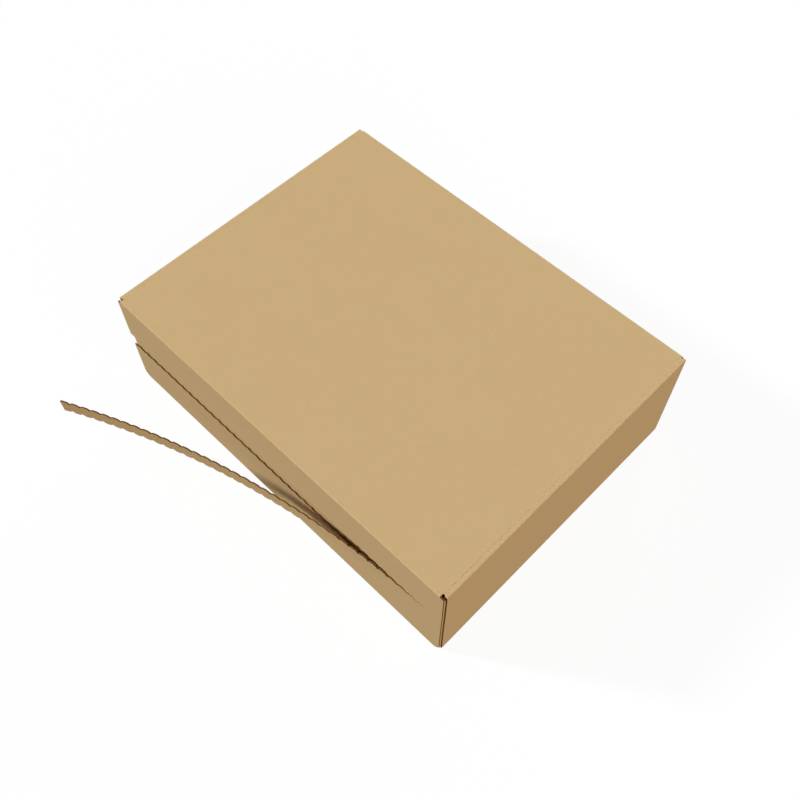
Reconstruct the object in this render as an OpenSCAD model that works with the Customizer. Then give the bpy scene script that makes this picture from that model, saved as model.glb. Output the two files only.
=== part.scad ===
/* [Box] */
// Length of the closed box along its sealed front, outside
box_length = 400; // [300:1:600]
// Depth from the sealed front to the wall that hinges the lid, outside
box_depth = 303; // [220:1:450]
// Height of the closed box, outside
box_height = 119; // [95:1:180]

/* [Board] */
// Thickness of the corrugated board
board_t = 1.4; // [1.1:0.1:1.6]
// Outside radius of a scored fold
fold_r = 1.7; // [1.6:0.1:1.9]
// Outside radius of a fold that is pressed sharp, such as those of a rolled side wall
tight_r = 0.6; // [0.3:0.1:1]
// Outside radius of the crease on top of the inner side wall, which the lid closes against
seam_r = 0.2; // [0.1:0.1:0.6]
// Free space between two layers that lie against each other
layer_gap = 0.1; // [0.05:0.05:0.3]
// Resolution of the fold arcs
arc_steps = 48; // [24:8:96]

/* [Side walls] */
// How far the outer side wall stops short of the front
side_front_inset = 3.1; // [2.2:0.1:4]
// How far the outer side wall stops short of the back
side_back_inset = 1.1; // [0.5:0.1:3]
// Running clearance at both ends of the inner side wall
wall_clear = 1; // [0.2:0.1:1.5]
// Length of the lock tabs that pass through the bottom
tab_l = 38; // [20:1:50]
// Distance between the centres of the two tabs of a side
tab_spacing = 150; // [80:1:160]
// Clearance of a tab in its slot, on each side
tab_clear = 0.2; // [0.1:0.1:0.5]

/* [Ears] */
// Length of the ears that are trapped inside the side walls
ear_l = 105; // [40:1:105]
// Free height above and below an ear
ear_clear = 1.2; // [1:0.1:4]
// Height at which the upright fold between a wall and its ear starts
ear_fold_low = 0.4; // [0.3:0.1:1.2]
// Free height between the front wall and the lid
front_wall_clear = 4; // [0.5:0.1:5]
// Radius of the free corners of an ear
ear_r = 12; // [4:1:20]

/* [Lid] */
// Gap beside the lid at its hinge
lid_gap_back = 0.03; // [0.02:0.01:0.5]
// Gap beside the lid at its front, where the lid is cut narrower
lid_gap_front = 0.12; // [0.05:0.01:1]
// How far the outside flap stops short of the left side of the box
flap_left_inset = 1; // [0.3:0.1:3]
// How far the outside flap stops short of the right side of the box
flap_right_inset = 1.3; // [0.3:0.1:3]
// How far the flap's shoulders end below the top of the box, where they meet the lid
shoulder_drop = 0.5; // [0.3:0.1:1.5]
// How much lower the shoulders end at their outer corners
shoulder_fall = 1; // [0.5:0.1:2]
// Width of the small notch that frees each front corner of the lid
corner_notch_w = 0.8; // [0.3:0.1:2]
// Distance from the front of the box to the back of that notch
corner_notch_l = 3.9; // [2.5:0.1:6]
// Height of the flap's lower edge above the floor
flap_lift = 0.5; // [0.3:0.1:3]
// Radius of the flap's two lower corners
flap_r = 8; // [3:1:12]

/* [Tear strip] */
// Height of the centre line of the strip above the floor
strip_height = 59.9; // [45:0.1:65]
// Width of the strip across two opposite wave tops
strip_w = 16.1; // [12:0.1:20]
// Length of one wave of the cut
wave_pitch = 10.33; // [8:0.01:14]
// Depth of the notch between two waves
wave_depth = 2.3; // [1.2:0.1:2.6]
// How much of the round top of a wave is cut off flat
wave_flat = 0.15; // [0.1:0.05:0.3]
// Distance from the free end of the strip to its first notch
first_notch = 8.6; // [6:0.1:12]
// Width of the torn cut
kerf = 0.25; // [0.1:0.05:0.3]
// Board left whole between the end of the tear and the right side
tear_left = 19; // [5:0.5:40]
// Angle at which the strip leaves the flap where the tear ends, in degrees
tear_angle = 1.1; // [0.2:0.1:3]
// Radius of the curl of the torn strip
curl_r = 856; // [600:1:1600]
// Resolution of the curl
curl_steps = 1440; // [720:360:2880]

/* [Closure tape] */
// Thickness of the adhesive tape that seals the flap
tape_t = 0.2; // [0.1:0.05:0.4]
// Width of the tape
tape_w = 12; // [8:1:20]
// Distance from the tape to either end of the flap
tape_end = 12; // [5:1:30]
// Height of the tape's lower edge above the floor
tape_low = 22; // [14:1:24]

/* [Hidden] */
$fn = arc_steps;

kraft = [0.79, 0.67, 0.50];
tape_white = [0.93, 0.92, 0.88];
over = 1;
root_bite = 0.02;

half_l = box_length / 2;
half_d = box_depth / 2;
inner_r = fold_r - board_t;

// A rolled side wall is three layers thick: outer wall, ear, inner wall
roll_w = 3 * board_t + 2 * layer_gap;
roll_inside_x = half_l - roll_w;
ear_outside_x = half_l - board_t - layer_gap;
ear_fold_x = ear_outside_x - fold_r;

front_wall_y = -half_d + board_t + tape_t;
front_fold_y = front_wall_y + fold_r;
back_fold_y = half_d - fold_r;
under_lid_z = box_height - board_t - layer_gap;
front_wall_top_z = under_lid_z - front_wall_clear;
ear_low_z = fold_r + ear_clear;
ear_high_z = front_wall_top_z - ear_clear;

hinge_y = half_d - board_t;
lid_back_half = roll_inside_x - lid_gap_back;
lid_front_half = roll_inside_x - lid_gap_front;
notch_x = lid_front_half - corner_notch_w;
flap_left_x = -half_l + flap_left_inset;
flap_right_x = half_l - flap_right_inset;
flap_top_z = box_height - fold_r;

tear_end_x = half_l - tear_left;
strip_l = tear_end_x - flap_left_x;
strip_top_z = strip_height + strip_w / 2;
strip_low_z = strip_height - strip_w / 2;
curl_angle = strip_l / curl_r * 180 / PI;
wave_rise = wave_depth + wave_flat;
wave_r = (pow(wave_pitch / 2, 2) + pow(wave_rise, 2)) / (2 * wave_rise);
notches = [for (s = first_notch; s < strip_l - wave_pitch / 2; s = s + wave_pitch) s];

// Draws its children in the Y, Z plane and runs them along X
module along_x(x0, x1) {
    translate([x0, 0, 0]) rotate([90, 0, 90]) linear_extrude(x1 - x0) children();
}

// Draws its children in the X, Z plane and runs them along Y
module along_y(y0, y1) {
    translate([0, y1, 0]) rotate([90, 0, 0]) linear_extrude(y1 - y0) children();
}

// Draws its children in the X, Y plane and runs them up Z
module along_z(z0, z1) {
    translate([0, 0, z0]) linear_extrude(z1 - z0) children();
}

// Section of a scored fold: a quarter ring in the quadrant that the signs name
module fold(sign_u, sign_v) {
    intersection() {
        difference() {
            circle(r = fold_r);
            circle(r = inner_r);
        }
        translate([min(0, sign_u) * fold_r, min(0, sign_v) * fold_r]) square(fold_r);
    }
}

// Section of a fold pressed sharp: a square of board with its outer upper corner rounded
module sharp_fold(side, r) {
    mirror([side < 0 ? 1 : 0, 0]) {
        square([board_t - r, board_t]);
        square([board_t, board_t - r]);
        translate([board_t - r, board_t - r]) circle(r = r);
    }
}

// A rectangle with both corners of its far end rounded
module round_end(l, w, r) {
    square([l - r, w]);
    translate([0, r]) square([l, w - 2 * r]);
    for (v = [r, w - r]) translate([l - r, v]) circle(r = r);
}

module tab_slots() {
    slot_l = tab_l + 2 * tab_clear;
    slot_w = board_t + 2 * tab_clear;
    for (side = [-1, 1], place = [-1, 1]) {
        x = side * (roll_inside_x + board_t / 2);
        y = place * tab_spacing / 2;
        translate([x - slot_w / 2, y - slot_l / 2, -over]) cube([slot_w, slot_l, board_t + 2 * over]);
    }
}

module bottom_panel() {
    difference() {
        translate([-half_l + fold_r, front_fold_y, 0])
            cube([box_length - 2 * fold_r, back_fold_y - front_fold_y, board_t]);
        tab_slots();
    }
}

// One rolled side wall, drawn for the right side
module side_wall() {
    fold_x = half_l - fold_r;
    fold_z = box_height - board_t;
    outer_front_y = -half_d + side_front_inset;
    outer_back_y = half_d - side_back_inset;
    inner_front_y = front_wall_y + board_t + wall_clear;
    inner_back_y = hinge_y - wall_clear;
    along_y(front_fold_y, outer_back_y)
        translate([fold_x, fold_r]) fold(1, -1);
    along_y(outer_front_y, outer_back_y) {
        translate([half_l - board_t, fold_r]) square([board_t, fold_z - fold_r]);
        translate([half_l - board_t, fold_z]) sharp_fold(1, tight_r);
        translate([roll_inside_x + board_t, fold_z]) square([roll_w - 2 * board_t, board_t]);
    }
    along_y(inner_front_y, inner_back_y) {
        translate([roll_inside_x, board_t + layer_gap])
            square([board_t, fold_z - board_t - layer_gap]);
        translate([roll_inside_x + board_t, fold_z]) sharp_fold(-1, seam_r);
    }
    for (place = [-1, 1])
        translate([roll_inside_x, place * tab_spacing / 2 - tab_l / 2, layer_gap])
            cube([board_t, tab_l, 2 * board_t]);
}

// One ear with the fold that joins it to its wall, drawn for the right end of the front wall
module ear() {
    along_z(ear_fold_low, ear_high_z)
        translate([ear_fold_x, front_fold_y]) fold(1, -1);
    along_x(ear_outside_x - board_t, ear_outside_x)
        translate([front_fold_y, ear_low_z]) round_end(ear_l, ear_high_z - ear_low_z, ear_r);
}

module front_wall() {
    along_x(-ear_fold_x, ear_fold_x) {
        translate([front_fold_y, fold_r]) fold(-1, -1);
        translate([front_wall_y, fold_r]) square([board_t, front_wall_top_z - fold_r]);
    }
    for (side = [0, 1]) mirror([side, 0, 0]) ear();
}

module back_wall() {
    along_x(-ear_fold_x, ear_fold_x) {
        translate([back_fold_y, fold_r]) fold(1, -1);
        translate([hinge_y, fold_r]) square([board_t, box_height - board_t - fold_r]);
    }
    for (side = [0, 1]) mirror([side, 0, 0])
        translate([0, half_d + front_wall_y, 0]) mirror([0, 1, 0]) ear();
}

module lid() {
    front_y = -half_d + fold_r;
    notch_y = -half_d + corner_notch_l;
    along_x(-lid_back_half, lid_back_half)
        translate([hinge_y, box_height - board_t]) sharp_fold(1, tight_r);
    along_z(box_height - board_t, box_height)
        polygon([[-lid_back_half, hinge_y], [-lid_front_half, notch_y], [-notch_x, notch_y], [-notch_x, front_y],
                 [notch_x, front_y], [notch_x, notch_y], [lid_front_half, notch_y], [lid_back_half, hinge_y]]);
    along_x(-notch_x, notch_x)
        translate([front_y, flap_top_z]) fold(-1, 1);
}

// The notch between two waves, below a straight edge on the U axis; a margin widens it
module notch(margin) {
    difference() {
        translate([-wave_pitch / 2, -wave_depth - over]) square([wave_pitch, wave_depth + 2 * over]);
        for (side = [-1, 1])
            translate([side * wave_pitch / 2, wave_flat - wave_r]) circle(r = wave_r - margin);
    }
}

// The gap that the torn strip has left in the flap, with a tooth for each notch
module tear_slot() {
    along_y(-half_d - over, -half_d + board_t + tape_t / 2)
        difference() {
            translate([flap_left_x - over, strip_low_z])
                square([strip_l + over, strip_w]);
            for (s = notches) {
                translate([flap_left_x + s, strip_top_z]) notch(0);
                translate([flap_left_x + s, strip_low_z]) mirror([0, 1]) notch(0);
            }
        }
}

module front_flap() {
    join_z = flap_top_z - fold_r;
    shoulder_z = box_height - shoulder_drop;
    corner_z = shoulder_z - shoulder_fall;
    difference() {
        along_y(-half_d, -half_d + board_t) {
            translate([flap_left_x, join_z]) rotate(-90)
                round_end(join_z - flap_lift, flap_right_x - flap_left_x, flap_r);
            translate([-notch_x, join_z])
                square([2 * notch_x, fold_r]);
            polygon([[flap_left_x, join_z], [flap_left_x, corner_z],
                     [-notch_x, shoulder_z], [-notch_x, join_z]]);
            polygon([[flap_right_x, join_z], [flap_right_x, corner_z],
                     [notch_x, shoulder_z], [notch_x, join_z]]);
        }
        tear_slot();
    }
}

// The torn strip: a curl about an upright axis, turned about its inner edge where the tear ends
module torn_strip() {
    translate([tear_end_x + root_bite, -half_d + board_t - root_bite, 0])
        rotate([0, 0, 90 + tear_angle])
            translate([-board_t / 2 - curl_r, 0, 0])
                difference() {
                    rotate_extrude(angle = curl_angle, $fn = curl_steps)
                        translate([curl_r - board_t / 2, strip_low_z + kerf])
                            square([board_t, strip_w - 2 * kerf]);
                    for (s = notches)
                        rotate([0, 0, curl_angle - s / curl_r * 180 / PI])
                            along_x(curl_r - board_t, curl_r + board_t) {
                                translate([0, strip_top_z]) notch(kerf);
                                translate([0, strip_low_z]) mirror([0, 1]) notch(kerf);
                            }
                }
}

module folded_blank() {
    color(kraft) {
        bottom_panel();
        for (side = [0, 1]) mirror([side, 0, 0]) side_wall();
        front_wall();
        back_wall();
        lid();
        front_flap();
        torn_strip();
    }
}

module closure_tape() {
    color(tape_white)
        translate([flap_left_x + tape_end, -half_d + board_t, tape_low])
            cube([flap_right_x - flap_left_x - 2 * tape_end, tape_t, tape_w]);
}

folded_blank();
closure_tape();
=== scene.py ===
import math
import bmesh
import bpy
from mathutils import Matrix, Vector


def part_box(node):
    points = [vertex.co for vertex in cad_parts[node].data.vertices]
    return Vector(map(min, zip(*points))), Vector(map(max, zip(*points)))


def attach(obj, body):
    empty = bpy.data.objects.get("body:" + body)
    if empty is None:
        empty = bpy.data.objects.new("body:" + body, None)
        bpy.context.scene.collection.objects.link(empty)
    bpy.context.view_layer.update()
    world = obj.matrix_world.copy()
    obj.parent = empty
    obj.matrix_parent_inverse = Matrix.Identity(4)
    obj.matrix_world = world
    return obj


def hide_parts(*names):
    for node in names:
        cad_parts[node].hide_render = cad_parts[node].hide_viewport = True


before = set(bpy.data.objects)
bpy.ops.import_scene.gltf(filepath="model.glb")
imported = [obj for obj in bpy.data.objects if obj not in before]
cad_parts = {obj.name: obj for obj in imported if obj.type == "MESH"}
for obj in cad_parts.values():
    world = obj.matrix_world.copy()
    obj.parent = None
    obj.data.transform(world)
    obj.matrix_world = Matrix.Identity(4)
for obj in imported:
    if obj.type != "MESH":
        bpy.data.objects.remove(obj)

mm = 0.001
sameCut = 1e-6          # cuts closer than this are one
weldDistance = 1e-7     # corners closer than this are one
pathSlack = 1e-9        # rounding that a place on a path may have
scene = bpy.context.scene
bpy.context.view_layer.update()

# The closed box gives its own size; the torn strip only reaches further forward
halfLength, halfDepth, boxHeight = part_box("folded_blank")[1]
tapeLow, tapeHigh = (Vector(corner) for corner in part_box("closure_tape"))

board = {
    "thickness": 1.4 * mm,
    "liner": 0.22 * mm,
    "medium": 0.18 * mm,
    "glueBite": 0.01 * mm,
    "flutePitch": 3.3 * mm,
    "stepsPerFlute": 8,
    "foldRadius": 1.7 * mm,
    "foldSteps": 12,
    "sharpRadius": 0.6 * mm,
    "sharpSteps": 6,
    "flapRadius": 0.9 * mm,
    "seamRadius": 0.12 * mm,
    "seamSteps": 3,
    "layerGap": 0.1 * mm,
    "ease": 0.3 * mm,
    "sharpAngle": 35,
}
thickness, foldRadius, layerGap = board["thickness"], board["foldRadius"], board["layerGap"]
foldSteps, sharpSteps = board["foldSteps"], board["sharpSteps"]
# Slot 1, the raw cut edges, is partly their own dark colour and partly painted shade; slot 2,
# inside the flutes, is painted shade
linerFace, cutEdgeShadeFace, insideShadeFace = 0, 1, 2        # material slots of the blank


class Profile:
    # The board's section along a path: pairs of points on its outer and its inner face.
    # The outer face lies to the right of the path, and every bend turns left.
    def __init__(self, start, heading):
        self.outer = Vector(start)
        self.along = Vector(heading)
        self.stations = [(self.outer.copy(), self.innerPoint(), 0.0)]
        self.cells = []
        self.eased = set()

    def innerPoint(self):
        return self.outer + Vector((-self.along.y, self.along.x)) * thickness

    def add(self, outer, inner, cell):
        step = (outer - self.outer).length
        self.outer = outer
        self.stations.append((outer.copy(), inner.copy(), self.stations[-1][2] + step))
        self.cells.append(cell)

    def line(self, length, cell):
        # A short step at each end keeps the smooth shading of a bend off the flat board
        ease = board["ease"]
        steps = [ease, length - 2 * ease, ease] if length > 4 * ease else [length]
        left = Vector((-self.along.y, self.along.x))
        for n, step in enumerate(steps):
            goal = self.outer + self.along * step
            self.add(goal, goal + left * thickness, cell)
            if n < len(steps) - 1:
                self.eased.add(len(self.stations) - 1)
        return self

    def bend(self, radius, steps, cell):
        # A radius smaller than the board pivots on the inner face, as a crushed score does
        lead = max(0, thickness - radius)
        pivot = self.innerPoint()
        if lead:
            self.add(self.outer + self.along * lead, pivot, cell)
        left = Vector((-self.along.y, self.along.x))
        centre = self.outer + left * radius
        ahead = self.along.copy()
        for step in range(1, steps + 1):
            angle = math.radians(90) * step / steps
            spoke = ahead * math.sin(angle) - left * math.cos(angle)
            inner = pivot if lead else centre + spoke * (radius - thickness)
            self.add(centre + spoke * radius, inner, cell)
        self.along = left
        if lead:
            self.add(self.outer + self.along * lead, pivot, cell)
        return self

    def point(self, station, depth):
        outer, inner = self.stations[station][:2]
        return outer.lerp(inner, depth / thickness)

    def at(self, distance, depth):
        for (outerA, innerA, a), (outerB, innerB, b) in zip(self.stations, self.stations[1:]):
            if distance <= b + pathSlack:
                share = (distance - a) / (b - a)
                inner = innerA.lerp(innerB, share)
                return outerA.lerp(outerB, share).lerp(inner, depth / thickness)
        return self.point(-1, depth)

    def cellAt(self, distance):
        for cell, end in zip(self.cells, self.stations[1:]):
            if distance <= end[2]:
                return cell
        return self.cells[-1]

    def cuts(self):
        return [station[2] for station in self.stations]


def addShell(mesh, columns, rows, present, place, outside, inside, slots):
    # One closed layer of board: a grid of cells, with a wall wherever a cell has no neighbour
    filled = [[present((a + b) / 2, j) for j in range(len(rows) - 1)]
              for a, b in zip(columns, columns[1:])]
    made = {}

    def vertex(i, j, inner):
        if (i, j, inner) not in made:
            column = columns[i]
            depth = inside(column) if inner else outside(column)
            made[i, j, inner] = mesh.verts.new(place(column, rows[j](column), depth))
        return made[i, j, inner]

    def isFilled(i, j):
        return 0 <= i < len(filled) and 0 <= j < len(rows) - 1 and filled[i][j]

    def face(slot, *corners):
        mesh.faces.new([vertex(*corner) for corner in corners]).material_index = slot

    outerSlot, innerSlot, wallSlot = slots
    for i in range(len(filled)):
        for j in range(len(rows) - 1):
            if not filled[i][j]:
                continue
            face(outerSlot, (i, j, 0), (i + 1, j, 0), (i + 1, j + 1, 0), (i, j + 1, 0))
            face(innerSlot, (i, j, 1), (i, j + 1, 1), (i + 1, j + 1, 1), (i + 1, j, 1))
            if not isFilled(i - 1, j):
                face(wallSlot, (i, j, 0), (i, j + 1, 0), (i, j + 1, 1), (i, j, 1))
            if not isFilled(i + 1, j):
                face(wallSlot, (i + 1, j, 0), (i + 1, j, 1), (i + 1, j + 1, 1), (i + 1, j + 1, 0))
            if not isFilled(i, j - 1):
                face(wallSlot, (i, j, 0), (i, j, 1), (i + 1, j, 1), (i + 1, j, 0))
            if not isFilled(i, j + 1):
                face(wallSlot, (i, j + 1, 0), (i + 1, j + 1, 0), (i + 1, j + 1, 1), (i, j + 1, 1))
    bmesh.ops.remove_doubles(mesh, verts=list(made.values()), dist=weldDistance)


def sortedCuts(values):
    cuts = []
    for value in sorted(values):
        if not cuts or value - cuts[-1] > sameCut:
            cuts.append(value)
    return cuts


def waveCuts(start, end):
    # Column places for the fluted medium, in step with one wave that runs over the whole sheet
    step = board["flutePitch"] / board["stepsPerFlute"]
    first, last = math.ceil(start / step), math.floor(end / step)
    return [n * step for n in range(first, last + 1)]


def waveCentre(distance):
    swing = thickness / 2 - board["liner"] - board["medium"] / 2 + board["glueBite"]
    return thickness / 2 + swing * math.sin(2 * math.pi * distance / board["flutePitch"])


def addBoard(mesh, columns, rows, present, place, isFold, flutes, fluteRows=None):
    # Outer liner, inner liner, fluted medium, and a crushed core where the board is scored
    liner, half = board["liner"], board["medium"] / 2
    kept = fluteRows or list(range(len(rows)))
    core = (insideShadeFace, insideShadeFace, cutEdgeShadeFace)
    addShell(mesh, columns, rows, present, place,
             lambda c: 0, lambda c: liner, (linerFace, insideShadeFace, cutEdgeShadeFace))
    addShell(mesh, columns, rows, present, place,
             lambda c: thickness - liner, lambda c: thickness, (insideShadeFace, linerFace, cutEdgeShadeFace))
    addShell(mesh, columns, rows, lambda c, row: present(c, row) and isFold(c, row), place,
             lambda c: liner, lambda c: thickness - liner, core)
    addShell(mesh, sortedCuts([*columns, *flutes]), [rows[k] for k in kept],
             lambda c, row: present(c, kept[row]) and not isFold(c, kept[row]), place,
             lambda c: waveCentre(c) - half, lambda c: waveCentre(c) + half, core)


rolls = {
    "frontInset": 3.1 * mm,
    "backInset": 1.1 * mm,
    "wallClear": 1 * mm,
    "tabLength": 38 * mm,
    "tabSpacing": 150 * mm,
    "tabClear": 0.2 * mm,
}
rollWidth = 3 * thickness + 2 * layerGap
rollInsideX = halfLength - rollWidth

ears = {
    "length": 105 * mm,
    "clear": 1.2 * mm,
    "foldLow": 0.4 * mm,
    "cornerRadius": 12 * mm,
    "cornerSteps": 8,
}
earFoldX = halfLength - thickness - layerGap - foldRadius

lid = {
    "overlapBack": 0.1 * mm,
    "gapFront": 0.12 * mm,
    "wallClear": 4 * mm,
    "leftNotchWidth": 0.28 * mm,
    "rightNotchWidth": 0.8 * mm,
    "notchLength": 3.9 * mm,
}
# At the back the lid's cut edge presses into the rounded edge of the roll, so no seam shows
lidBackHalf = rollInsideX + lid["overlapBack"]
lidFrontHalf = rollInsideX - lid["gapFront"]
notchLeftX = -lidBackHalf + lid["leftNotchWidth"]
notchRightX = lidFrontHalf - lid["rightNotchWidth"]
tapeThickness = tapeHigh.y - tapeLow.y
frontWallY = -halfDepth + thickness + tapeThickness
frontFoldY = frontWallY + foldRadius
backFoldY = halfDepth - foldRadius
underLidZ = boxHeight - thickness - layerGap
frontWallTopZ = underLidZ - lid["wallClear"]

flap = {
    "leftInset": 1 * mm,
    "rightInset": 1.3 * mm,
    "shoulderDrop": 0.5 * mm,
    "shoulderFall": 1 * mm,
    "lift": 0.5 * mm,
    "cornerRadius": 8 * mm,
    "cornerSteps": 10,
}
flapLeftX = -halfLength + flap["leftInset"]
flapRightX = halfLength - flap["rightInset"]
flapJoinZ = boxHeight - 2 * foldRadius

tear = {
    "height": 59.9 * mm,
    "width": 16.1 * mm,
    "wavePitch": 10.33 * mm,
    "waveDepth": 2.3 * mm,
    "waveFlat": 0.15 * mm,
    "waveSteps": 14,
    "firstNotch": 8.6 * mm,
    "kerf": 0.25 * mm,
    "wholeRight": 19 * mm,
    "leaveAngle": 1.1,
    "curlRadius": 856 * mm,
    "rootBite": 0.02 * mm,
}
tearEndX = halfLength - tear["wholeRight"]
stripLength = tearEndX - flapLeftX
highCut, lowCut = tear["height"] + tear["width"] / 2, tear["height"] - tear["width"] / 2


def scallop(distance, margin):
    # How far the wave cut dips below its straight line, at a distance from the strip's free end
    pitch = tear["wavePitch"]
    count = round((distance - tear["firstNotch"]) / pitch)
    offset = abs(distance - tear["firstNotch"] - count * pitch)
    lastNotch = math.ceil((stripLength - pitch / 2 - tear["firstNotch"]) / pitch) - 1
    if count < 0 or count > lastNotch:
        return 0
    rise = tear["waveDepth"] + tear["waveFlat"]
    radius = ((pitch / 2) ** 2 + rise ** 2) / (2 * rise)
    reach = pitch / 2 - offset
    return min(0, tear["waveFlat"] - radius + math.sqrt((radius - margin) ** 2 - reach ** 2))


def scallopCuts():
    pitch, steps = tear["wavePitch"], tear["waveSteps"]
    first = tear["firstNotch"] - pitch / 2
    count = int((stripLength - first) / pitch * steps)
    return [0] + [first + n * pitch / steps for n in range(count + 1)] + [stripLength]


def roundCorner(distance, radius):
    # How far a rounded corner rises above its edge, at a distance from the end
    if distance >= radius:
        return 0
    return radius - math.sqrt(max(0, radius ** 2 - (radius - distance) ** 2))


def cornerCuts(radius, steps):
    return [radius * (1 - math.cos(math.radians(90) * n / steps)) for n in range(steps + 1)]


def addSpine(mesh):
    # Front wall, bottom, back wall and lid are one run of board with its flutes along the path
    slotHalf, tabY = rolls["tabLength"] / 2 + rolls["tabClear"], rolls["tabSpacing"] / 2
    slotEnds = [middle + end * slotHalf for middle in (-tabY, tabY) for end in (-1, 1)]
    run = Profile((frontWallY, frontWallTopZ), (0, -1))
    run.line(frontWallTopZ - foldRadius, "wall").bend(foldRadius, foldSteps, "wallFold")
    y = frontFoldY
    for n, end in enumerate(slotEnds + [backFoldY]):
        run.line(end - y, "slots" if n in (1, 3) else "bottom")     # the runs that cross a tab
        y = end
    run.bend(foldRadius, foldSteps, "wallFold")
    run.line(boxHeight - thickness - foldRadius, "wall")
    run.bend(board["sharpRadius"], sharpSteps, "lidFold")
    run.line(2 * halfDepth - thickness - lid["notchLength"], "lid")
    run.line(lid["notchLength"] - thickness, "lidFront")
    run.bend(board["flapRadius"], sharpSteps, "flapFold")
    run.line(boxHeight - thickness - flapJoinZ, "lidFront")

    bottomHalf = halfLength - foldRadius
    slotX = rollInsideX + thickness / 2
    slotWide = thickness / 2 + rolls["tabClear"]
    halves = {"wall": earFoldX, "wallFold": earFoldX, "bottom": bottomHalf, "slots": bottomHalf,
              "lid": lidFrontHalf, "lidFold": lidFrontHalf}
    edges = [bottomHalf, earFoldX, lidFrontHalf, slotX - slotWide, slotX + slotWide]

    def present(x, row):
        cell = run.cells[row]
        if cell in ("lidFront", "flapFold"):
            return notchLeftX < x < notchRightX
        inSlot = cell == "slots" and abs(abs(x) - slotX) < slotWide
        return abs(x) < halves[cell] and not inSlot

    def place(x, row, depth):
        y, z = run.point(row, depth)
        if abs(abs(x) - lidFrontHalf) < sameCut and z > boxHeight / 2:
            # The lid sits against the left roll and narrows away from the right one to its front
            share = (halfDepth - y) / (2 * halfDepth - lid["notchLength"]) if x > 0 else 0
            x = math.copysign(lidBackHalf + (lidFrontHalf - lidBackHalf) * share, x)
        return Vector((x, y, z))

    columns = sortedCuts([side * edge for side in (-1, 1) for edge in edges]
                         + [notchLeftX, notchRightX])
    rows = [lambda x, n=n: n for n in range(len(run.stations))]
    kept = [n for n in range(len(rows)) if n not in run.eased]
    addBoard(mesh, columns, rows, present, place, lambda x, row: "Fold" in run.cells[row],
             waveCuts(-bottomHalf, bottomHalf), kept)


def addSideWall(mesh, side):
    # Rolled side wall: up from the bottom, over, and down inside to the tabs
    fromX = halfLength - foldRadius
    roll = Profile((fromX, 0), (1, 0)).bend(foldRadius, foldSteps, "lowFold")
    roll.line(boxHeight - thickness - foldRadius, "outer")
    roll.bend(board["sharpRadius"], sharpSteps, "outerFold")
    roll.line(rollWidth - 2 * thickness, "outer")
    roll.bend(board["seamRadius"], board["seamSteps"], "innerFold")
    roll.line(boxHeight - 2 * thickness - layerGap, "inner").line(thickness, "tab")

    outerFront, outerBack = -halfDepth + rolls["frontInset"], halfDepth - rolls["backInset"]
    innerFront = frontWallY + thickness + rolls["wallClear"]
    innerBack = halfDepth - thickness - rolls["wallClear"]
    spans = {"lowFold": (frontFoldY, outerBack), "outer": (outerFront, outerBack),
             "outerFold": (outerFront, outerBack), "innerFold": (innerFront, innerBack),
             "inner": (innerFront, innerBack), "tab": (innerFront, innerBack)}
    tabHalf, tabY = rolls["tabLength"] / 2, rolls["tabSpacing"] / 2
    tabEnds = [middle + end * tabHalf for middle in (-tabY, tabY) for end in (-1, 1)]
    stops = sortedCuts([outerFront, outerBack, frontFoldY, innerFront, innerBack, *tabEnds])

    def present(distance, row):
        cell = roll.cellAt(distance)
        y = (stops[row] + stops[row + 1]) / 2
        low, high = spans[cell]
        onTab = abs(abs(y) - tabY) < tabHalf
        return low < y < high and (cell != "tab" or onTab)

    def place(distance, y, depth):
        x, z = roll.at(distance, depth)
        return Vector((side * x, y, z))

    cuts = roll.cuts()
    rows = [lambda c, y=y: y for y in stops]
    flutes = waveCuts(cuts[0], cuts[-1])
    addBoard(mesh, cuts, rows, present, place, lambda c, row: "Fold" in roll.cellAt(c), flutes)


def addEar(mesh, side, end):
    # An ear turns in from its wall and is trapped inside the rolled side wall
    turn = Profile((earFoldX, frontWallY), (1, 0)).bend(foldRadius, foldSteps, "fold")
    turn.line(ears["length"], "ear")
    lowZ, highZ = foldRadius + ears["clear"], frontWallTopZ - ears["clear"]
    length = turn.cuts()[-1]

    def rounding(distance):
        return roundCorner(length - distance, ears["cornerRadius"])

    def place(distance, z, depth):
        x, y = turn.at(distance, depth)
        if end > 0:
            y = halfDepth + frontWallY - y
        return Vector((side * x, y, z))

    rows = [lambda c: ears["foldLow"],
            lambda c: lowZ + rounding(c),
            lambda c: highZ - rounding(c)]
    corner = [length - cut for cut in cornerCuts(ears["cornerRadius"], ears["cornerSteps"])]
    columns = sortedCuts([*turn.cuts(), *corner])
    addBoard(mesh, columns, rows, lambda c, row: row == 1 or turn.cellAt(c) == "fold", place,
             lambda c, row: turn.cellAt(c) == "fold", waveCuts(0, length))


def addFlap(mesh):
    # The outside flap, with the gap that the torn strip has left in it
    radius = flap["cornerRadius"]

    def lowEdge(x):
        return flap["lift"] + roundCorner(min(x - flapLeftX, flapRightX - x), radius)

    def place(x, z, depth):
        return Vector((x, -halfDepth + depth, z))

    def shoulder(x):
        start, end = (notchRightX, flapRightX) if x > 0 else (notchLeftX, flapLeftX)
        share = (x - start) / (end - start)
        return boxHeight - flap["shoulderDrop"] - flap["shoulderFall"] * max(0, share)

    def present(x, row):
        if row == 0:
            return x < notchLeftX or x > notchRightX
        return row != 2 or x > tearEndX

    rows = [shoulder,
            lambda x: flapJoinZ,
            lambda x: highCut + (scallop(x - flapLeftX, 0) if x < tearEndX else 0),
            lambda x: lowCut - (scallop(x - flapLeftX, 0) if x < tearEndX else 0),
            lowEdge]
    corner = cornerCuts(radius, flap["cornerSteps"])
    columns = sortedCuts([flapLeftX + cut for cut in corner] + [flapRightX - cut for cut in corner]
                         + [flapLeftX + cut for cut in scallopCuts()] + [notchLeftX, notchRightX])
    addBoard(mesh, columns, rows, present, place, lambda x, row: False,
             waveCuts(flapLeftX, flapRightX))


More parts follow.
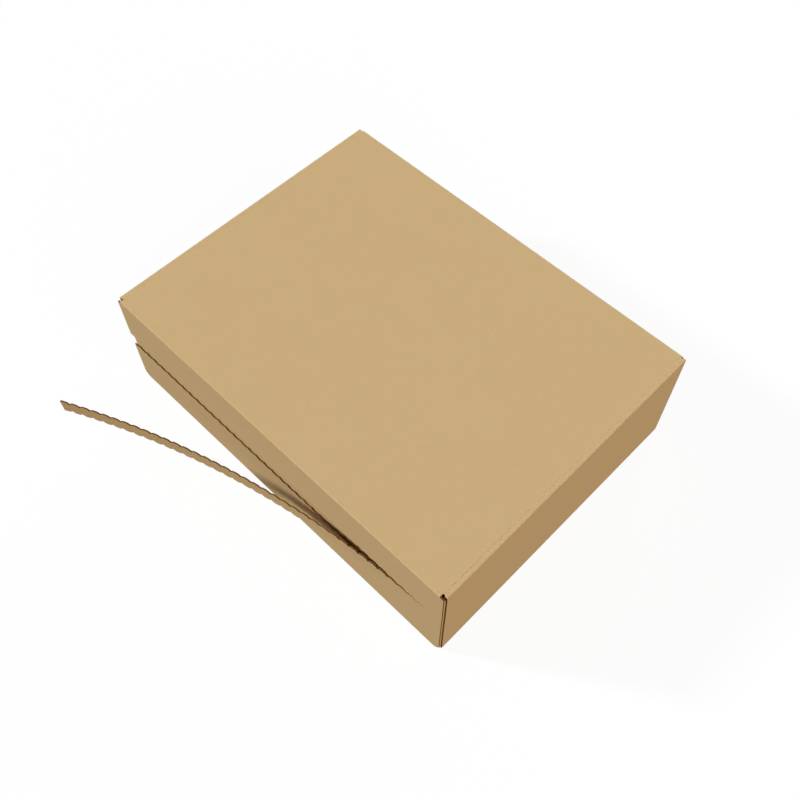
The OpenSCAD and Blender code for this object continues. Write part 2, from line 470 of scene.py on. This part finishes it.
def addStrip(mesh):
    # The torn strip curls outwards about an upright axis, from its inner edge at the tear's end
    radius, kerf, bite = tear["curlRadius"], tear["kerf"], tear["rootBite"]
    root = Vector((tearEndX + bite, -halfDepth + thickness - bite, 0))
    turn = Matrix.Rotation(math.radians(tear["leaveAngle"]), 3, "Z")

    def place(x, z, depth):
        angle = (tearEndX - x) / radius
        reach = radius - thickness / 2 + depth
        inward = reach * math.cos(angle) - radius - thickness / 2
        return root + turn @ Vector((-reach * math.sin(angle), inward, z))

    rows = [lambda x: highCut - kerf + min(0, scallop(x - flapLeftX, kerf) + kerf),
            lambda x: lowCut + kerf - min(0, scallop(x - flapLeftX, kerf) + kerf)]
    columns = sortedCuts([flapLeftX + cut for cut in scallopCuts()])
    addBoard(mesh, columns, rows, lambda x, row: True, place, lambda x, row: False,
             waveCuts(flapLeftX, tearEndX))


def buildBlank():
    mesh = bmesh.new()
    addSpine(mesh)
    for side in (-1, 1):
        addSideWall(mesh, side)
        for end in (-1, 1):
            addEar(mesh, side, end)
    addFlap(mesh)
    addStrip(mesh)
    bmesh.ops.recalc_face_normals(mesh, faces=mesh.faces)
    for face in mesh.faces:
        face.smooth = True
    data = bpy.data.meshes.new("kraft_blank")
    mesh.to_mesh(data)
    mesh.free()
    data.set_sharp_from_angle(angle=math.radians(board["sharpAngle"]))
    blank = bpy.data.objects.new("kraft_blank", data)
    scene.collection.objects.link(blank)
    print("blank built:", len(data.polygons), "faces")
    return blank


class Value:
    # A number in a node tree: Python's operators add the Math nodes
    def __init__(self, tree, socket):
        self.tree, self.socket = tree, socket

    def maths(self, operation, *terms):
        node = self.tree.nodes.new("ShaderNodeMath")
        node.operation = operation
        for socket, term in zip(node.inputs, terms):
            if isinstance(term, Value):
                self.tree.links.new(term.socket, socket)
            else:
                socket.default_value = term
        return Value(self.tree, node.outputs[0])

    def __add__(self, other):
        return self.maths("ADD", self, other)

    def __radd__(self, other):
        return self.maths("ADD", other, self)

    def __sub__(self, other):
        return self.maths("SUBTRACT", self, other)

    def __rsub__(self, other):
        return self.maths("SUBTRACT", other, self)

    def __mul__(self, other):
        return self.maths("MULTIPLY", self, other)

    def __rmul__(self, other):
        return self.maths("MULTIPLY", other, self)

    def __gt__(self, other):
        return self.maths("GREATER_THAN", self, other)

    def __abs__(self):
        return self.maths("ABSOLUTE", self)


class Nodes:
    # A node tree, with one way to add any node
    def __init__(self, owner):
        owner.use_nodes = True
        self.tree = owner.node_tree

    def plug(self, node, sockets):
        for key, value in sockets.items():
            socket = node.inputs[key] if isinstance(key, int) else self.find(node.inputs, key)
            if isinstance(value, Value):
                self.tree.links.new(value.socket, socket)
            elif isinstance(value, bpy.types.NodeSocket):
                self.tree.links.new(value, socket)
            else:
                socket.default_value = value

    def find(self, sockets, name):
        return next(socket for socket in sockets if name in (socket.identifier, socket.name))

    def node(self, kind, settings, sockets, output):
        node = self.tree.nodes.new(kind)
        for key, value in settings.items():
            setattr(node, key, value)
        self.plug(node, sockets)
        socket = self.find(node.outputs, output)
        return Value(self.tree, socket) if socket.type == "VALUE" else socket

    def noise(self, vector, scale, detail=3, rough=0.5):
        return self.node("ShaderNodeTexNoise", {}, {"Vector": vector, "Scale": scale,
                                                    "Detail": detail, "Roughness": rough}, "Fac")

    def stretch(self, vector, factors):
        return self.node("ShaderNodeVectorMath", {"operation": "MULTIPLY"},
                         {0: vector, 1: factors}, "Vector")

    def mixColour(self, factor, first, second):
        # A fixed colour is written as red, green, blue
        first, second = ((*colour, 1) if isinstance(colour, tuple) else colour
                         for colour in (first, second))
        return self.node("ShaderNodeMix", {"data_type": "RGBA"},
                         {"Factor_Float": factor, "A_Color": first, "B_Color": second},
                         "Result_Color")

    def smooth(self, value, low, high):
        return self.node("ShaderNodeMapRange", {"interpolation_type": "SMOOTHSTEP"},
                         {"Value": value, "From Min": low, "From Max": high}, "Result")

    def bump(self, height, strength, distance):
        return self.node("ShaderNodeBump", {}, {"Strength": strength, "Distance": distance,
                                                "Height": height}, "Normal")

    def seenDirectly(self):
        # 1 for the rays that see the backdrop itself, 0 for those that only carry its light
        camera, glossy, passed = (self.node("ShaderNodeLightPath", {}, {}, name) for name in
                                  ("Is Camera Ray", "Is Glossy Ray", "Is Transmission Ray"))
        return camera.maths("MAXIMUM", camera, glossy.maths("MAXIMUM", glossy, passed))


class Finish(Nodes):
    # A material with its Principled shader
    def __init__(self, name):
        self.material = bpy.data.materials.new(name)
        super().__init__(self.material)
        self.shader = self.tree.nodes["Principled BSDF"]

    def coordinates(self, kind="Object"):
        return self.node("ShaderNodeTexCoord", {}, {}, kind)


kraftLook = {
    "fibreColour": (0.476, 0.314, 0.14),
    "paleColour": (0.682, 0.492, 0.26),
    "fibre": 0.30,              # how far fibres, clouds and flecks reach between the two colours
    "cloud": 0.06,
    "hair": 0.25,
    "fleck": 0.35,
    "fibreScale": 2600,         # noise scales, in features a metre
    "hairScale": 1500,
    "fleckScale": 1900,
    "cloudScale": 45,
    "patchScale": 9,
    "hairRange": (0.62, 0.74),
    "fleckRange": (0.72, 0.80),
    "grainStretch": 0.12,
    "roughness": 0.86,
    "roughnessSpread": 0.12,
    "specular": 0.1,
    "bump": 0.35,
    "bumpDistance": 0.03 * mm,
}
sideways = 0.7          # a face whose normal has more X than this is a side of the box

# The raw cut edges: partly their own dark brown, partly painted shade, darkened and reddened for
# the shade in the slots and gaps that they line
cutEdgeAndShadeLook = {
    "name": "cut_edge_and_painted_shade",
    "colour": (0.28, 0.145, 0.045),
    "paleColour": (0.38, 0.21, 0.075),
}

# Painted shade: the kraft paper inside the flutes is painted dark reddish brown for the shade in
# their hollows and in the gaps behind the strip
insideShadeLook = {
    "name": "flute_inside_painted_shade",
    "colour": (0.17, 0.07, 0.018),
    "paleColour": (0.24, 0.115, 0.035),
}

# What the raw edges and the inside of the flutes have in common
rawLook = {
    "fibreScale": 3200,
    "fibreRange": (0.3, 0.75),
    "roughness": 0.95,
    "specular": 0.08,
    "bump": 0.5,
    "bumpDistance": 0.04 * mm,
}

tapeLook = {
    "colour": (0.80, 0.77, 0.70),
    "threadColour": (0.66, 0.61, 0.52),
    "threadScale": 1800,
    "threadRange": (0.35, 0.7),
    "threadStretch": 0.1,
    "roughness": 0.55,
    "bump": 0.3,
    "bumpDistance": 0.02 * mm,
}


def kraftFinish():
    finish, look = Finish("kraft_liner"), kraftLook
    place, along = finish.coordinates(), look["grainStretch"]
    normal = finish.coordinates("Normal")
    normalX = finish.node("ShaderNodeSeparateXYZ", {}, {"Vector": normal}, "X")
    # Fibres run across the flutes: along the box on its front and lid, upright on its sides
    grain = finish.node("ShaderNodeMix", {"data_type": "VECTOR"},
                        {"Factor_Float": abs(normalX) > sideways,
                         "A_Vector": finish.stretch(place, (along, 1, 1)),
                         "B_Vector": finish.stretch(place, (1, 1, along))}, "Result_Vector")
    fibres = finish.noise(grain, look["fibreScale"], 4, 0.6)
    hairs = finish.smooth(finish.noise(grain, look["hairScale"], 2, 0.4), *look["hairRange"])
    clouds = finish.noise(place, look["cloudScale"], 3)
    patches = finish.noise(place, look["patchScale"], 2)
    flecks = finish.smooth(finish.noise(place, look["fleckScale"], 1, 0.3), *look["fleckRange"])
    tone = 0.5 + (fibres - 0.5) * look["fibre"] + (clouds + patches - 1) * look["cloud"]
    base = finish.mixColour(tone, look["fibreColour"], look["paleColour"])
    base = finish.mixColour(hairs * look["hair"], base, look["paleColour"])
    base = finish.mixColour(flecks * look["fleck"], base, look["fibreColour"])
    height = fibres * 0.6 + hairs * 0.25 + clouds * 0.3
    finish.plug(finish.shader, {
        "Base Color": base,
        "Roughness": look["roughness"] + (fibres - 0.5) * look["roughnessSpread"],
        "Normal": finish.bump(height, look["bump"], look["bumpDistance"]),
        "Specular IOR Level": look["specular"],
    })
    return finish.material


def rawFinish(look):
    finish = Finish(look["name"])
    fibres = finish.noise(finish.coordinates(), rawLook["fibreScale"], 3, 0.6)
    share = finish.smooth(fibres, *rawLook["fibreRange"])
    finish.plug(finish.shader, {
        "Base Color": finish.mixColour(share, look["colour"], look["paleColour"]),
        "Roughness": rawLook["roughness"],
        "Normal": finish.bump(fibres, rawLook["bump"], rawLook["bumpDistance"]),
        "Specular IOR Level": rawLook["specular"],
    })
    return finish.material


def tapeFinish():
    finish, look = Finish("closure_tape_paper"), tapeLook
    lengthwise = finish.stretch(finish.coordinates(), (look["threadStretch"], 1, 1))
    threads = finish.noise(lengthwise, look["threadScale"], 3, 0.5)
    share = finish.smooth(threads, *look["threadRange"])
    finish.plug(finish.shader, {
        "Base Color": finish.mixColour(share, look["colour"], look["threadColour"]),
        "Roughness": look["roughness"],
        "Normal": finish.bump(threads, look["bump"], look["bumpDistance"]),
    })
    return finish.material


blank = buildBlank()
blank.data.materials.append(kraftFinish())
# The last two slots carry painted shade: the cut edges in part, the flute insides wholly
blank.data.materials.append(rawFinish(cutEdgeAndShadeLook))
blank.data.materials.append(rawFinish(insideShadeLook))
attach(blank, "root")
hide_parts("folded_blank")
print("board finished")

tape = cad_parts["closure_tape"]
tape.data.materials.clear()
tape.data.materials.append(tapeFinish())
print("tape finished")

view = {
    "lens": 43.5336,
    "sensor": 36,
    "clipEnd": 20,
    "place": (350.155 * mm, -351.726 * mm, 804.555 * mm),
    "azimuth": 44.4791,
    "elevation": 58.3158,
    "roll": 0.0394,
}


def addCamera():
    azimuth, elevation, roll = (math.radians(view[key]) for key in ("azimuth", "elevation", "roll"))
    reach, drop = math.cos(elevation), math.sin(elevation)
    ahead = Vector((-math.sin(azimuth) * reach, math.cos(azimuth) * reach, -drop))
    level = ahead.cross(Vector((0, 0, 1))).normalized()
    upright = level.cross(ahead)
    right = level * math.cos(roll) + upright * math.sin(roll)
    up = upright * math.cos(roll) - level * math.sin(roll)
    camera = bpy.data.objects.new("camera", bpy.data.cameras.new("camera"))
    camera.data.sensor_width = view["sensor"]
    camera.data.lens = view["lens"]
    camera.data.clip_end = view["clipEnd"]
    turn = Matrix((right, up, -ahead)).transposed()
    camera.matrix_world = Matrix.Translation(view["place"]) @ turn.to_4x4()
    scene.collection.objects.link(camera)
    scene.camera = camera


studio = {
    "lamps": {
        "key": {"source": (-1.55, -1, 1), "strength": 3.3, "angle": 6,
                "colour": (0.934, 0.963, 1)},
        "warm_fill": {"source": (0.96, -0.28, 0.6), "strength": 2.41, "angle": 60,
                      "colour": (1, 0.891, 0.795)},
        "back_fill": {"source": (-0.3, 1, 0.22), "strength": 1.44, "angle": 40,
                      "colour": (0.875, 0.92, 1)},
    },
    "sky": (0.045, 0.075, 0.095),
    "floorBounce": (0.06, 0.02, 0.005),
    "floorGlow": 0.92,
    "floorSize": 6,
}
white = (1, 1, 1)


def addSun(name, source, strength, angle, colour):
    lamp = bpy.data.objects.new(name, bpy.data.lights.new(name, "SUN"))
    lamp.data.energy = strength
    lamp.data.angle = math.radians(angle)
    lamp.data.color = colour
    lamp.rotation_euler = Vector(source).to_track_quat("Z", "Y").to_euler()
    scene.collection.objects.link(lamp)


def addFloor():
    # Seen by the camera, the floor is nearly all white glow, and the rest takes the box's shadow
    half = studio["floorSize"] / 2
    data = bpy.data.meshes.new("floor")
    corners = [(-half, -half, 0), (half, -half, 0), (half, half, 0), (-half, half, 0)]
    data.from_pydata(corners, [], [(0, 1, 2, 3)])
    floor = bpy.data.objects.new("floor", data)
    scene.collection.objects.link(floor)
    finish = Finish("floor_paper")
    finish.tree.nodes.remove(finish.shader)
    seen = finish.seenDirectly()
    colour = finish.mixColour(seen, studio["floorBounce"], white)
    matt = finish.node("ShaderNodeBsdfDiffuse", {}, {"Color": colour}, "BSDF")
    glow = finish.node("ShaderNodeEmission", {}, {"Color": (*white, 1), "Strength": 1}, "Emission")
    mixed = finish.node("ShaderNodeMixShader", {},
                        {0: seen * studio["floorGlow"], 1: matt, 2: glow}, "Shader")
    finish.plug(finish.tree.nodes["Material Output"], {"Surface": mixed})
    data.materials.append(finish.material)


def addSky():
    world = bpy.data.worlds.new("studio")
    sky = Nodes(world)
    colour = sky.mixColour(sky.seenDirectly(), studio["sky"], white)
    sky.plug(sky.tree.nodes["Background"], {"Color": colour})
    scene.world = world


addCamera()
for lampName, lampLook in studio["lamps"].items():
    addSun(lampName, **lampLook)
addFloor()
addSky()
scene.view_settings.view_transform = "Standard"
print("studio lit")
